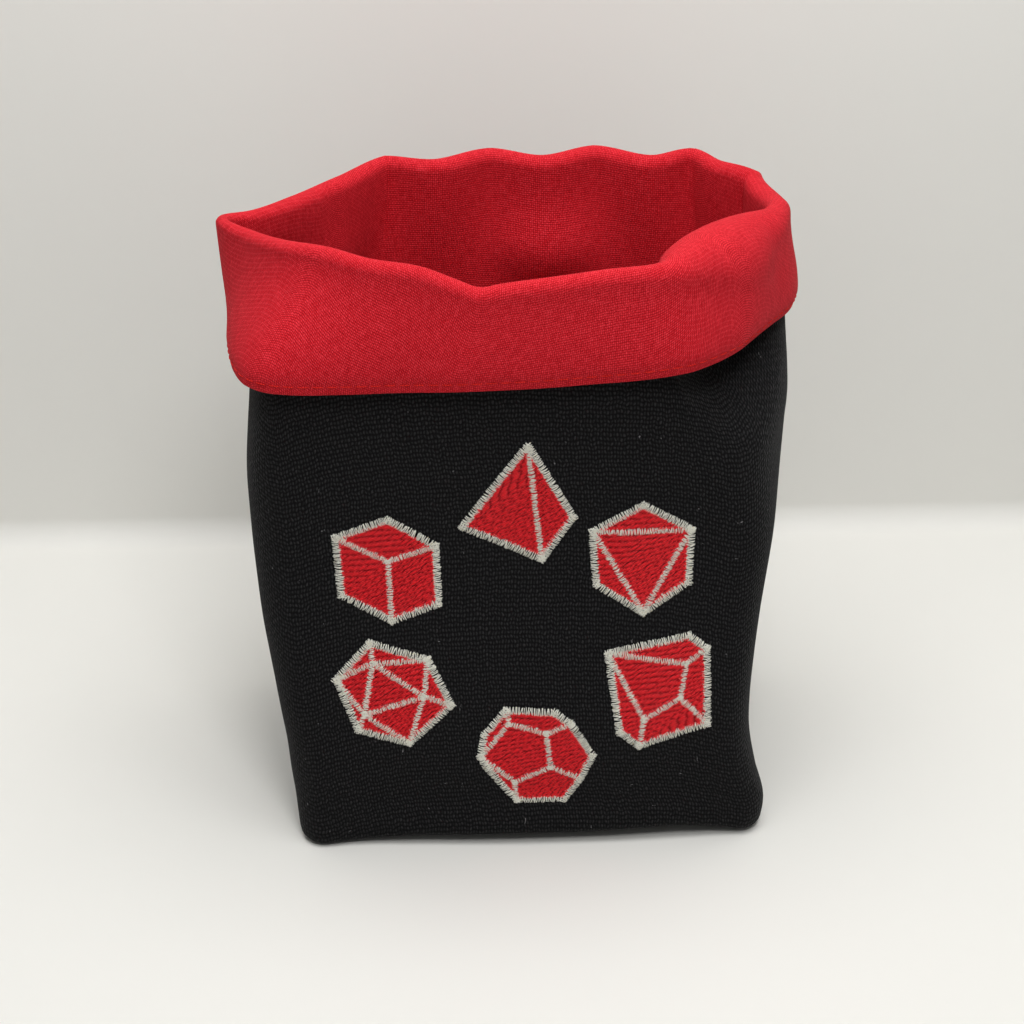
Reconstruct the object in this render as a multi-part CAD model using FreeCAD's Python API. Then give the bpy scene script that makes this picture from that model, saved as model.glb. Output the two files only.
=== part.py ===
import FreeCAD, Part
import math
import os
from FreeCAD import Vector

# A free-standing cloth dice bag: canvas outside, cotton lining inside, the top folded out as a cuff.
# The origin is the middle of the base on the table, x runs right, y to the back, z up.

# Size of the bag over the canvas, in millimetres
base_width = 121.0
base_depth = 80.0
mouth_width = 130.0
rim_height = 149.5
hem_height = 124.5
base_corner_radius = 10.0
mouth_corner_radius = 31.0
base_bend_radius = 4.0

# How the soft walls stand: the front and back faces lean back, and the middle sways to the left
front_lean = 11.0
back_lean = 10.0
lean_start = 15.0
lean_end = 90.0
left_sway = 5.0
sway_turn = 2.5
flare_end = 125.0
neck_height = 110.0

# The mouth's top line from the left seam to the right one: x, y, rise over the rim height and how much
# wider than usual the fold is. It is drawn for a mouth 130 wide, and goes with the mouth's real width.
drawn_mouth_width = 130.0
mouth_front = [
    (-72.3, 9.0, 3.3, 0.0), (-64.5, -4.0, 3.7, 0.0), (-57.0, -13.5, 4.7, 0.0), (-48.0, -20.0, 5.3, 0.0),
    (-38.0, -25.0, 4.1, 0.0), (-25.0, -28.0, 2.7, 0.0), (-12.5, -29.6, -1.4, 0.0), (4.0, -29.5, 0.6, 0.0),
    (16.0, -29.0, 2.0, 0.0), (29.5, -27.0, 2.9, 0.2), (40.0, -20.5, 3.5, 1.3), (48.5, -12.0, 3.9, 1.8),
    (55.5, -3.0, 3.9, 1.4), (60.5, 6.0, 3.7, 0.3), (62.2, 14.0, 3.5, 0.0),
]
mouth_back = [
    (62.2, 14.0, 3.5, 0.0), (62.2, 22.0, 2.5, 0.0), (60.0, 32.0, 2.4, 0.0), (55.5, 40.0, 3.9, 0.0),
    (46.0, 48.0, 5.0, 0.0), (35.0, 47.5, 4.5, 0.0), (20.0, 50.6, 6.0, 0.0), (6.0, 48.0, 4.8, 0.0),
    (-8.0, 50.6, 5.7, 0.0), (-22.0, 46.9, 4.5, 0.0), (-35.0, 47.6, 4.0, 0.0), (-46.2, 40.0, 2.5, 0.0),
    (-57.3, 26.5, 2.0, 0.0), (-66.6, 15.5, 2.3, 0.0), (-72.3, 9.0, 3.3, 0.0),
]

# The cuff's lower edge in the same two halves: x, y and rise over the hem height
hem_front = [
    (-72.8, 9.0, 3.0), (-73.0, -4.0, 2.3), (-72.5, -14.0, 1.7), (-71.0, -23.0, 1.3), (-67.8, -30.0, 1.0),
    (-63.0, -33.6, 0.7), (-57.0, -34.6, 0.3), (-45.0, -34.7, 0.1), (-30.0, -34.6, 0.2), (-15.0, -34.5, 0.4),
    (0.0, -34.5, 0.8), (12.0, -34.5, 1.6), (23.0, -34.5, 2.4), (31.0, -34.3, 3.3), (37.0, -33.0, 3.8),
    (42.0, -29.6, 4.0), (47.5, -24.0, 4.1), (54.0, -15.3, 4.1), (60.8, -5.5, 4.2), (66.0, 3.0, 4.0),
    (68.6, 12.0, 3.6),
]
hem_back = [
    (68.6, 12.0, 3.6), (68.9, 22.0, 3.2), (67.0, 34.0, 2.7), (62.0, 44.0, 2.5), (54.0, 51.5, 2.1),
    (44.0, 54.2, 1.9), (25.0, 54.8, 1.7), (5.0, 54.4, 1.5), (-15.0, 54.6, 1.5), (-35.0, 54.4, 1.5),
    (-50.0, 52.8, 1.6), (-60.0, 47.0, 1.8), (-67.5, 37.0, 2.2), (-71.5, 24.0, 2.6), (-72.8, 9.0, 3.0),
]

# Where the wall starts to follow the cuff, ends doing so, and turns in to the mouth at front and back
shoulder_start = 111.0
shoulder_end = 127.0
front_turn_in = 124.0
back_turn_in = 100.0
cuff_clearance = 2.6

# Cloth and thread
canvas_thickness = 0.9
lining_thickness = 0.45
backing_thickness = 0.3
lining_gap = 0.8
roll_radius = 1.4
thread_clearance = 0.1
backing_clearance = 0.15
fill_thickness = 0.4
outline_thickness = 0.7
outer_outline_width = 2.4
inner_outline_width = 1.9
fill_gap = 0.15

# The cuff's topstitching and the hidden seam stitching
topstitch_above_hem = 2.2
topstitch_length = 2.6
topstitch_pitch = 3.3
topstitch_width = 0.5
seam_stitch_length = 2.2
seam_stitch_pitch = 3.0
seam_stitch_width = 0.4

# The backing sheet behind the embroidery
backing_left = -50.5
backing_right = 45.0
backing_bottom = 11.0
backing_top = 108.0
embroidery_top = 109.0

# How many spans the cloth is divided into along each stretch
spans = {
    "side": 4, "corner": 6, "face": 20,
    "bend": 4, "wall": 9, "shoulder": 6, "roll": 6, "cuff": 5,
}

# Where the corner stretches start and end, as shares of the way from seam to seam
corner_start = 0.13
corner_end = 0.25

# Each die's corners as (x, z) on the front face, its outer edge in order and its inner edges
dice = {
    "four_sided_die": {
        "corners": {"top": (-1.5, 106.5), "left": (-17.0, 87.0), "bottom": (2.0, 78.0), "right": (9.5, 88.0)},
        "outer": ["top", "left", "bottom", "right"],
        "inner": [("top", "bottom")],
    },
    "six_sided_die": {
        "corners": {
            "top": (-35.5, 88.5), "upper_left": (-48.0, 84.0), "upper_right": (-24.0, 81.5),
            "middle": (-35.5, 77.5), "lower_left": (-47.0, 69.0), "lower_right": (-23.5, 66.5),
            "bottom": (-35.0, 62.5),
        },
        "outer": ["top", "upper_left", "lower_left", "bottom", "lower_right", "upper_right"],
        "inner": [("upper_left", "middle"), ("upper_right", "middle"), ("middle", "bottom")],
    },
    "eight_sided_die": {
        "corners": {
            "top": (26.5, 91.0), "upper_left": (14.5, 84.0), "upper_right": (38.5, 84.0),
            "lower_left": (15.5, 70.5), "lower_right": (38.0, 70.5), "bottom": (27.0, 63.0),
        },
        "outer": ["top", "upper_left", "lower_left", "bottom", "lower_right", "upper_right"],
        "inner": [("upper_left", "upper_right"), ("upper_right", "bottom"), ("bottom", "upper_left")],
    },
    "ten_sided_die": {
        "corners": {
            "left_tip": (18.5, 52.5), "top": (38.5, 56.5), "right_tip": (43.0, 53.0),
            "lower_right": (43.5, 33.5), "bottom": (26.5, 28.0), "lower_left": (21.5, 32.0),
            "kite_right": (38.0, 49.5), "kite_low": (36.5, 40.5), "kite_bottom": (27.5, 35.0),
        },
        "outer": ["left_tip", "top", "right_tip", "lower_right", "bottom", "lower_left"],
        "inner": [
            ("left_tip", "kite_right"), ("kite_right", "kite_low"), ("kite_low", "kite_bottom"),
            ("kite_bottom", "left_tip"), ("kite_right", "right_tip"), ("kite_low", "lower_right"),
            ("kite_bottom", "bottom"),
        ],
    },
    "twelve_sided_die": {
        "corners": {
            "top_left": (-7.0, 38.0), "top_right": (5.0, 37.5), "right_high": (9.0, 34.5),
            "right_tip": (14.5, 25.5), "right_low": (11.5, 19.0), "bottom_right": (7.5, 12.5),
            "bottom_left": (-4.5, 12.5), "left_low": (-12.0, 22.5), "left_tip": (-13.5, 25.5),
            "left_high": (-12.5, 31.5), "face_top": (-6.5, 34.5), "face_right": (3.0, 32.0),
            "face_low_right": (4.0, 22.5), "face_bottom": (-5.0, 18.0),
        },
        "outer": [
            "top_left", "top_right", "right_high", "right_tip", "right_low",
            "bottom_right", "bottom_left", "left_low", "left_tip", "left_high",
        ],
        "inner": [
            ("face_top", "face_right"), ("face_right", "face_low_right"), ("face_low_right", "face_bottom"),
            ("face_bottom", "left_tip"), ("left_tip", "face_top"), ("face_top", "top_left"),
            ("face_right", "right_high"), ("face_low_right", "right_low"), ("face_bottom", "bottom_left"),
        ],
    },
    "twenty_sided_die": {
        "corners": {
            "top": (-40.5, 56.5), "upper_right": (-26.5, 52.0), "right": (-21.0, 40.0),
            "bottom": (-31.5, 30.0), "lower_left": (-44.0, 34.0), "left": (-49.0, 47.0),
            "face_top": (-40.0, 51.5), "face_right": (-27.5, 42.5), "face_low": (-42.5, 38.0),
        },
        "outer": ["top", "upper_right", "right", "bottom", "lower_left", "left"],
        "inner": [
            ("face_top", "face_right"), ("face_right", "face_low"), ("face_low", "face_top"),
            ("face_top", "top"), ("face_top", "left"), ("face_top", "upper_right"),
            ("face_right", "upper_right"), ("face_right", "right"), ("face_right", "bottom"),
            ("face_low", "left"), ("face_low", "lower_left"), ("face_low", "bottom"),
        ],
    },
}

front = -1
back = 1


def smooth(share):
    """An easy rise from 0 to 1."""
    share = min(1.0, max(0.0, share))
    return share * share * (3.0 - 2.0 * share)


def wall_faces(height):
    """The canvas's outer faces at a height: left, right, front, back and corner radius."""
    share = height / rim_height
    half_width = base_width / 2 + (mouth_width - base_width) / 2 * smooth(height / flare_end)
    middle = -left_sway * math.sin(sway_turn * share)
    front_face = -base_depth / 2 + front_lean * smooth((height - lean_start) / (lean_end - lean_start))
    back_face = base_depth / 2 + back_lean * smooth(share)
    opening_out = smooth((height - neck_height) / (rim_height - neck_height))
    radius = base_corner_radius + (mouth_corner_radius - base_corner_radius) * opening_out
    return middle - half_width, middle + half_width, front_face, back_face, radius


def held(value, low, high):
    return min(high, max(low, value))


def plan_point(height, share, side):
    """Place and level outward direction on the canvas at a height, by share of the way seam to seam."""
    left, right, front_face, back_face, radius = wall_faces(height)
    seam = (front_face + back_face) / 2
    face = front_face if side == front else back_face
    run = abs(face - seam) - radius
    arc = radius * math.pi / 2
    across = right - left - 2 * radius
    gone = share * (2 * run + 2 * arc + across)
    first = held(gone, 0.0, run)
    first_turn = held((gone - run) / radius, 0.0, math.pi / 2)
    middle = held(gone - run - arc, 0.0, across)
    second_turn = held((gone - run - arc - across) / radius, 0.0, math.pi / 2)
    last = held(gone - run - 2 * arc - across, 0.0, run)
    x = left + radius * (1 - math.cos(first_turn)) + middle + radius * math.sin(second_turn)
    y = seam + side * (first + radius * math.sin(first_turn) - radius * (1 - math.cos(second_turn)) - last)
    turn = first_turn + second_turn
    return Vector(x, y, height), Vector(-math.cos(turn), side * math.sin(turn), 0)


def loop_keys(front_half, back_half):
    """Places round the bag, 0 and 2 at the left seam and 1 at the right one, each with its values."""
    keys = []
    for offset, half in ((0.0, front_half), (1.0, back_half)):
        gone = [0.0]
        for here, there in zip(half, half[1:]):
            gone.append(gone[-1] + math.hypot(there[0] - here[0], there[1] - here[1]))
        keys += [(offset + distance / gone[-1], values) for distance, values in zip(gone[:-1], half)]
    before = [(place - 2.0, values) for place, values in keys[-3:]]
    after = [(place + 2.0, values) for place, values in keys[:3]]
    return before + keys + after


def loop_values(keys, place):
    """Values at a place: a cubic between keys, each key's slope taken from its two neighbours."""
    place = place % 2.0
    i = 1
    while keys[i + 1][0] <= place:
        i += 1
    (k0, v0), (k1, v1), (k2, v2), (k3, v3) = keys[i - 1:i + 3]
    gap = k2 - k1
    t = (place - k1) / gap
    values = []
    for a, b, c, d in zip(v0, v1, v2, v3):
        first_slope = (c - a) / (k2 - k0) * gap
        second_slope = (d - b) / (k3 - k1) * gap
        value = (2 * t ** 3 - 3 * t ** 2 + 1) * b + (t ** 3 - 2 * t ** 2 + t) * first_slope
        values.append(value + (3 * t ** 2 - 2 * t ** 3) * c + (t ** 3 - t ** 2) * second_slope)
    return values


def line_point(keys, share, side, base_height):
    """Place, level outward direction and last value of the mouth's or the hem's line."""
    place = share if side == front else 2.0 - share
    width_scale = mouth_width / drawn_mouth_width
    step = 0.012
    here = loop_values(keys, place)
    before = loop_values(keys, place - step)
    after = loop_values(keys, place + step)
    along = Vector(after[0] - before[0], after[1] - before[1], 0).normalize()
    point = Vector(here[0] * width_scale, here[1] * width_scale, base_height + here[2])
    return point, Vector(along.y, -along.x, 0), here[-1]


def wall_point(height, inset, share, side, mouth, hem):
    """The wall: the plan at its height, then in line with the cuff, then in to the mouth's fold."""
    point, out = plan_point(height, share, side)
    point = point - out * inset
    hem_point, hem_out, unused = hem
    under = hem_point - hem_out * (visible_depth() + cuff_clearance + inset)
    blend = smooth((height - shoulder_start) / (shoulder_end - shoulder_start))
    point = point + (Vector(under.x, under.y, height) - point) * blend
    mouth_point, mouth_out, wider = mouth
    fold = roll_radius + wider
    centre_height = mouth_point.z - fold - visible_depth()
    from_seams = smooth(share / 0.2) * smooth((1.0 - share) / 0.2)
    turn_in = front_turn_in
    if side == back:
        turn_in += (back_turn_in - front_turn_in) * from_seams
    inner = mouth_point - mouth_out * (fold + inset)
    blend = smooth((height - turn_in) / (centre_height - turn_in))
    return point + (Vector(inner.x, inner.y, height) - point) * blend


def visible_depth():
    return canvas_thickness + lining_gap + lining_thickness


def cloth_column(inset, share, side):
    """One line up the cloth: round the bend, up the wall, over the fold and down the cuff."""
    mouth = line_point(mouth_keys, share, side, rim_height)
    hem = line_point(hem_keys, share, side, hem_height)
    mouth_point, mouth_out, wider = mouth
    hem_point, hem_out, unused = hem
    fold = roll_radius + wider
    roll = fold + inset
    centre = mouth_point - Vector(0, 0, fold + visible_depth())
    bend = base_bend_radius - inset
    column = []
    for i in range(spans["bend"]):
        turn = math.radians(90.0 * i / spans["bend"])
        height = base_bend_radius - bend * math.cos(turn)
        point, out = plan_point(height, share, side)
        column.append(point - out * (base_bend_radius - bend * math.sin(turn)))
    for i in range(spans["wall"]):
        height = base_bend_radius + (neck_height - base_bend_radius) * i / spans["wall"]
        column.append(wall_point(height, inset, share, side, mouth, hem))
    for i in range(spans["shoulder"]):
        height = neck_height + (centre.z - neck_height) * i / spans["shoulder"]
        column.append(wall_point(height, inset, share, side, mouth, hem))
    for i in range(spans["roll"] + 1):
        turn = math.pi * i / spans["roll"]
        column.append(centre - mouth_out * (roll * math.cos(turn)) + Vector(0, 0, roll * math.sin(turn)))
    top = centre + mouth_out * roll
    end = hem_point - hem_out * (visible_depth() - inset)
    for i in range(1, spans["cuff"] + 1):
        down = i / spans["cuff"]
        blend = 0.6 * smooth(down) + 0.4 * down
        point = top + (end - top) * blend
        point.z = top.z + (end.z - top.z) * down
        column.append(point)
    return column


def column_shares():
    """Places of the columns from seam to seam, closer together at the corners."""
    stretches = [
        (0.0, corner_start, spans["side"]), (corner_start, corner_end, spans["corner"]),
        (corner_end, 1.0 - corner_end, spans["face"]), (1.0 - corner_end, 1.0 - corner_start, spans["corner"]),
        (1.0 - corner_start, 1.0, spans["side"]),
    ]
    shares = []
    for start, end, count in stretches:
        shares += [start + (end - start) * i / count for i in range(count)]
    return shares + [1.0]


def layer_grid(inset, side):
    """Rows of points over a layer, each row running from the left seam to the right one."""
    columns = [cloth_column(inset, share, side) for share in column_shares()]
    return [list(row) for row in zip(*columns)]


def even_knots(count):
    """Knots and multiplicities of an even cubic spline that ends at its end points."""
    last = count - 3
    return list(range(last + 1)), [4] + [1] * (last - 1) + [4]


def spline_edge(points):
    knots, counts = even_knots(len(points))
    curve = Part.BSplineCurve()
    curve.buildFromPolesMultsKnots(points, counts, knots, False, 3)
    return curve.toShape()


def spline_face(rows):
    row_knots, row_counts = even_knots(len(rows))
    column_knots, column_counts = even_knots(len(rows[0]))
    surface = Part.BSplineSurface()
    surface.buildFromPolesMultsKnots(rows, row_counts, column_counts, row_knots, column_knots, False, False, 3, 3)
    return surface.toShape()


def strip_face(first, second):
    """A narrow face ruled straight across between two edges of as many points."""
    knots, counts = even_knots(len(first))
    poles = [[a, b] for a, b in zip(first, second)]
    surface = Part.BSplineSurface()
    surface.buildFromPolesMultsKnots(poles, counts, [2, 2], knots, [0, 1], False, False, 3, 1)
    return surface.toShape()


def closed_solid(faces):
    """Sew faces into one solid with its faces pointing out."""
    sewn = Part.Compound(faces)
    sewn.sewShape(0.001)
    solid = Part.Solid(sewn.Shells[0])
    if solid.Volume < 0:
        solid.reverse()
    return solid


def cloth_panel(outer_inset, inner_inset, side):
    """A panel of one cloth between two offsets, with its half of the base."""
    outer = layer_grid(outer_inset, side)
    inner = layer_grid(inner_inset, side)
    faces = [spline_face(outer), spline_face(inner)]
    for end in (0, -1):
        faces.append(strip_face([row[end] for row in outer], [row[end] for row in inner]))
    faces.append(strip_face(outer[-1], inner[-1]))
    for grid in (outer, inner):
        seam_line = Part.makeLine(grid[0][0], grid[0][-1])
        faces.append(Part.Face(Part.Wire([spline_edge(grid[0]), seam_line])))
    seam_corners = [outer[0][0], outer[0][-1], inner[0][-1], inner[0][0], outer[0][0]]
    faces.append(Part.Face(Part.makePolygon(seam_corners)))
    return closed_solid(faces)


def front_slab(offset, thickness, left, right, bottom, top):
    """A sheet that follows the front face at an offset, between two x and two z values."""
    rows = layer_grid(0.0, front)
    middle = len(rows[0]) // 2
    profile = [Vector(0.0, row[middle].y, row[middle].z) for row in rows]
    curve = spline_edge(profile).Curve
    edge = curve.toShape(parameter_at_height(curve, bottom), parameter_at_height(curve, top))
    edge.translate(Vector(left, offset, 0))
    face = edge.extrude(Vector(right - left, 0, 0))
    return face.extrude(Vector(0, thickness, 0))


def parameter_at_height(curve, height):
    """Where the rising part of the front profile crosses a height."""
    low = 0.0
    high = float(spans["bend"] + spans["wall"])
    for _ in range(60):
        middle = (low + high) / 2
        if curve.value(middle).z < height:
            low = middle
        else:
            high = middle
    return low


def satin_line(start, end, width):
    """A flat rounded line between two (x, z) points, standing in the plane in front of the bag."""
    plane_y = -base_depth
    a = Vector(start[0], plane_y, start[1])
    b = Vector(end[0], plane_y, end[1])
    along = (b - a).normalize()
    across = Vector(-along.z, 0, along.x) * (width / 2)
    reach = along * (width / 2)
    edges = [
        Part.makeLine(a + across, b + across),
        Part.Arc(b + across, b + reach, b - across).toShape(),
        Part.makeLine(b - across, a - across),
        Part.Arc(a - across, a - reach, a + across).toShape(),
    ]
    return Part.Face(Part.Wire(edges))


def satin_lines(die, extra_width):
    """All of a die's satin lines as one flat shape."""
    corners = die["corners"]
    outer = die["outer"]
    lines = []
    for here, there in zip(outer, outer[1:] + outer[:1]):
        lines.append(satin_line(corners[here], corners[there], outer_outline_width + extra_width))
    for here, there in die["inner"]:
        lines.append(satin_line(corners[here], corners[there], inner_outline_width + extra_width))
    return lines[0].multiFuse(lines[1:]).removeSplitter()


def die_face(die):
    """The whole outline of a die as one flat shape."""
    points = [Vector(die["corners"][name][0], -base_depth, die["corners"][name][1]) for name in die["outer"]]
    return Part.Face(Part.makePolygon(points + points[:1]))


def pressed_on(flat_shape, slab):
    """A flat shape carried back onto a sheet on the front face, as separate solids."""
    depth = Vector(0, base_depth, 0)
    cut = flat_shape.extrude(depth).common(slab)
    return Part.Compound(cut.Solids)


def stitch(start, end, lift, width):
    """A short straight stitch on four-sided thread, lying on its line and standing along lift."""
    along = (end - start).normalize()
    out = (lift - along * lift.dot(along)).normalize()
    across = out.cross(along) * (width / 2)
    foot = [start - across, end - across, end + across, start + across]
    return Part.Face(Part.makePolygon(foot + foot[:1])).extrude(out * width)


def stitch_row(points, lifts, length, pitch, width):
    """Stitches laid at an even pitch along a close-set line of points, each as long as asked."""
    travelled = [0.0]
    for here, there in zip(points, points[1:]):
        travelled.append(travelled[-1] + (there - here).Length)

    def place(distance):
        index = 0
        while index < len(points) - 2 and travelled[index + 1] < distance:
            index += 1
        share = (distance - travelled[index]) / (travelled[index + 1] - travelled[index])
        return points[index] + (points[index + 1] - points[index]) * share, lifts[index]

    count = int(travelled[-1] / pitch)
    margin = (travelled[-1] - (count - 1) * pitch - length) / 2
    stitches = []
    for i in range(count):
        start, lift = place(margin + i * pitch)
        end = place(margin + i * pitch + length)[0]
        stitches.append(stitch(start, end, lift, width))
    return stitches


def cuff_row(inset, above_hem, side):
    """Points and outward directions along a level just above the hem, on the outside of the cuff."""
    surface = spline_face(layer_grid(inset, side)).Surface
    first, last, low, high = surface.bounds()
    samples = 24 * spans["face"]
    points = []
    lifts = []
    for i in range(samples + 1):
        across = low + (high - low) * i / samples
        edge = surface.value(last, across)
        near = last - spans["cuff"]
        far = last
        for _ in range(30):
            middle = (near + far) / 2
            if surface.value(middle, across).z > edge.z + above_hem:
                near = middle
            else:
                far = middle
        point = surface.value(near, across)
        lift = surface.normal(near, across)
        if lift.dot(Vector(point.x, point.y, 0)) < 0:
            lift = lift * -1
        points.append(point)
        lifts.append(lift)
    return points, lifts


def topstitching():
    """The row of stitches that shows round the cuff, on both panels."""
    inset = canvas_thickness + lining_gap + lining_thickness + thread_clearance
    stitches = []
    for side in (front, back):
        points, lifts = cuff_row(inset, topstitch_above_hem, side)
        stitches += stitch_row(points, lifts, topstitch_length, topstitch_pitch, topstitch_width)
    return Part.Compound(stitches)


def side_seam_stitching(end):
    """Stitches inside one side seam, up the wall and again down the cuff, hidden by the lining."""
    inset = canvas_thickness + thread_clearance
    column = [row[end] for row in layer_grid(inset, front)]
    raised = [row[end] for row in layer_grid(inset + seam_stitch_width, front)]
    wall = slice(spans["bend"], spans["bend"] + spans["wall"] + spans["shoulder"] + 1)
    cuff = slice(len(column) - spans["cuff"] - 1, len(column))
    stitches = []
    for stretch in (wall, cuff):
        points = spline_edge(column[stretch]).discretize(20 * spans["wall"])
        tops = spline_edge(raised[stretch]).discretize(20 * spans["wall"])
        lifts = [top - point for point, top in zip(points, tops)]
        stitches += stitch_row(points, lifts, seam_stitch_length, seam_stitch_pitch, seam_stitch_width)
    return Part.Compound(stitches)


def base_seam_stitching():
    """Stitches inside the seam that joins the two halves of the base."""
    first_row = layer_grid(canvas_thickness, front)[0]
    lift = Vector(0, 0, thread_clearance)
    points = [first_row[0] + lift, first_row[-1] + lift]
    stitches = stitch_row(points, [lift], seam_stitch_length, seam_stitch_pitch, seam_stitch_width)
    return Part.Compound(stitches)


def save(name, shape):
    shape.exportStep(os.path.join("parts", name + ".step"))
    solids = shape.Solids
    volume = sum(solid.Volume for solid in solids)
    print(name, "solids", len(solids), "valid", shape.isValid(), "volume", round(volume, 1))


mouth_keys = loop_keys(mouth_front, mouth_back)
hem_keys = loop_keys(hem_front, hem_back)


def main():
    os.makedirs("parts", exist_ok=True)
    lining_outer = canvas_thickness + lining_gap
    for name, side in (("front", front), ("back", back)):
        save("outer_%s_panel" % name, cloth_panel(0.0, canvas_thickness, side))
        save("lining_%s_panel" % name, cloth_panel(lining_outer, lining_outer + lining_thickness, side))
    backing_offset = canvas_thickness + backing_clearance
    backing_area = (backing_left, backing_right, backing_bottom, backing_top)
    save("embroidery_backing", front_slab(backing_offset, backing_thickness, *backing_area))
    embroidery_area = (-base_width / 2, base_width / 2, base_bend_radius, embroidery_top)
    fill_slab = front_slab(-thread_clearance, -fill_thickness, *embroidery_area)
    outline_slab = front_slab(-thread_clearance, -outline_thickness, *embroidery_area)
    for name, die in dice.items():
        fill = die_face(die).cut(satin_lines(die, 2 * fill_gap))
        save(name + "_fill", pressed_on(fill, fill_slab))
        save(name + "_outline", pressed_on(satin_lines(die, 0.0), outline_slab))
    save("cuff_topstitching", topstitching())
    save("left_seam_stitching", side_seam_stitching(0))
    save("right_seam_stitching", side_seam_stitching(-1))
    save("base_seam_stitching", base_seam_stitching())


main()
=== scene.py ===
import math

import bmesh
import bpy
import numpy as np
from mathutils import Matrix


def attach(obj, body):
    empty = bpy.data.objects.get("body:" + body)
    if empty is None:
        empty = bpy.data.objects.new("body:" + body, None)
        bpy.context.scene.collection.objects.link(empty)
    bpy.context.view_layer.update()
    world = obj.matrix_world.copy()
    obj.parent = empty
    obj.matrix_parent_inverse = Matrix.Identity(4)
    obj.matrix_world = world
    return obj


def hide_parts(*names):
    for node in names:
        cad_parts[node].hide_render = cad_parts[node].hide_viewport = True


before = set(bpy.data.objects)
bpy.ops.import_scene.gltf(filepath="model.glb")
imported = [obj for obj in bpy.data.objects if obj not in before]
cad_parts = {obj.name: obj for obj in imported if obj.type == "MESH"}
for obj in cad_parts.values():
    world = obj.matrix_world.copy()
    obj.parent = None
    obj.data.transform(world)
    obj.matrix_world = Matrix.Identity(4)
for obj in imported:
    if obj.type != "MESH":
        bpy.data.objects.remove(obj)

scene = bpy.context.scene
mm = 0.001
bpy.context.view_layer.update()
print("frame loaded")

# the camera comes first, at the photograph's place and lens: metres, degrees and millimetres
camera = {
    "place": (-0.0225, -0.4335, 0.3052),
    "tilt": 62.0,
    "turn": -2.44,
    "lens": 66.8,
    "sensor": 36.0,
}


def placeCamera():
    # the tilt is up from straight down, the turn is about the upright
    data = bpy.data.cameras.new("camera")
    data.lens = camera["lens"]
    data.sensor_width = camera["sensor"]
    data.clip_start = 0.01
    holder = bpy.data.objects.new("camera", data)
    holder.location = camera["place"]
    holder.rotation_euler = (math.radians(camera["tilt"]), 0.0, math.radians(camera["turn"]))
    scene.collection.objects.link(holder)
    scene.camera = holder


placeCamera()

# the left and right edges of the canvas by height, in millimetres: height, left, right
sides = [
    (-10, -58.0, 57.4), (0, -58.9, 58.7), (8, -60.4, 59.4), (16, -61.8, 57.6), (28, -63.2, 55.9),
    (36, -64.5, 56.0), (47, -66.1, 56.8), (58, -67.5, 57.8), (70, -68.4, 59.3), (81, -69.1, 60.9),
    (92, -69.4, 62.0), (100, -69.4, 62.7), (106, -69.4, 63.2), (112, -69.4, 64.0), (119, -69.2, 65.6),
    (150, -69.2, 66.6), (170, -69.2, 66.6),
]

# the foot of the front from the left seam to the right one: place, push outwards, lift off the table
foot = [
    (0.0, 0.0, 0.0), (0.12, 0.2, 0.0), (0.17, 0.9, 0.0), (0.215, 1.7, 0.0), (0.26, 0.9, 0.5),
    (0.337, 1.4, 1.7), (0.42, 2.3, 2.1), (0.505, 2.6, 2.3), (0.6, 2.5, 2.6), (0.703, 1.5, 2.7),
    (0.745, 1.0, 1.8), (0.785, 0.8, 0.6), (0.83, 0.4, 0.2), (0.9, 0.2, 0.0), (1.0, 0.0, 0.0),
]

# the rest of the walls' form, in millimetres
wall = {
    "depth": 40.0, "frontLean": 11.0, "backLean": 10.0, "leanSpan": (15.0, 90.0), "rim": 149.5,
    "footRadius": 6.0, "cornerRadius": 10.0, "cornerFull": 30.0, "shoulderRadius": 26.0,
    "shoulderSpan": (70.0, 120.0), "footHeight": 17.0, "bend": 2.8, "cuffLineSpan": (94.0, 127.0),
    "frontNeck": 124.0, "backNeck": 100.0, "underCuff": 3.0, "clothWidth": 200.0, "neckEase": 0.2,
    "ripple": 0.3, "rippleStart": 12.0, "seamGroove": (0.7, 1.6), "tightest": 0.3,
}

# near the right seam the wall keeps closer to the cuff, from higher up, and left of it the neck is lower:
# middle and width as places round the bag
rightEnd = {"middle": 1.0, "width": 0.2, "closer": 0.7, "higher": 18.0}
lowNeck = {"middle": 0.8, "width": 0.12, "lower": 18.0}

# long waves of the standing cloth: half turns round the bag, rise per millimetre of height, start, size
waves = [(3, 0.045, 0.6, 1.0), (7, -0.031, 2.1, 0.7), (11, 0.083, 4.0, 0.5), (17, -0.11, 1.2, 0.4)]

# the cloth layers, as depth in from the canvas's outer face
layers = {"canvas": (0.0, 0.9), "backing": (1.05, 1.35), "lining": (1.7, 2.15)}
visibleDepth = layers["lining"][1]

# the crest of the mouth from the left seam round the front: x, y, z and the roll's radius
mouthFront = [
    (-73.5, 9.0, 152.8, 1.6), (-65.0, -5.0, 153.2, 2.4), (-57.0, -14.0, 154.2, 2.6),
    (-48.0, -20.0, 154.8, 2.8), (-38.0, -25.0, 153.6, 2.8), (-25.0, -28.0, 152.2, 2.8),
    (-18.0, -29.3, 149.8, 2.8), (-12.5, -29.6, 147.9, 2.8), (-8.0, -29.8, 148.7, 2.8),
    (4.0, -29.5, 150.1, 3.0), (16.0, -29.0, 151.5, 3.0), (30.5, -26.4, 152.4, 4.0),
    (37.7, -16.9, 153.6, 9.2), (44.7, -8.1, 154.0, 11.0), (51.6, -0.4, 153.8, 9.4),
    (60.0, 6.8, 153.4, 4.2), (62.6, 14.0, 153.0, 3.0),
]

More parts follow.
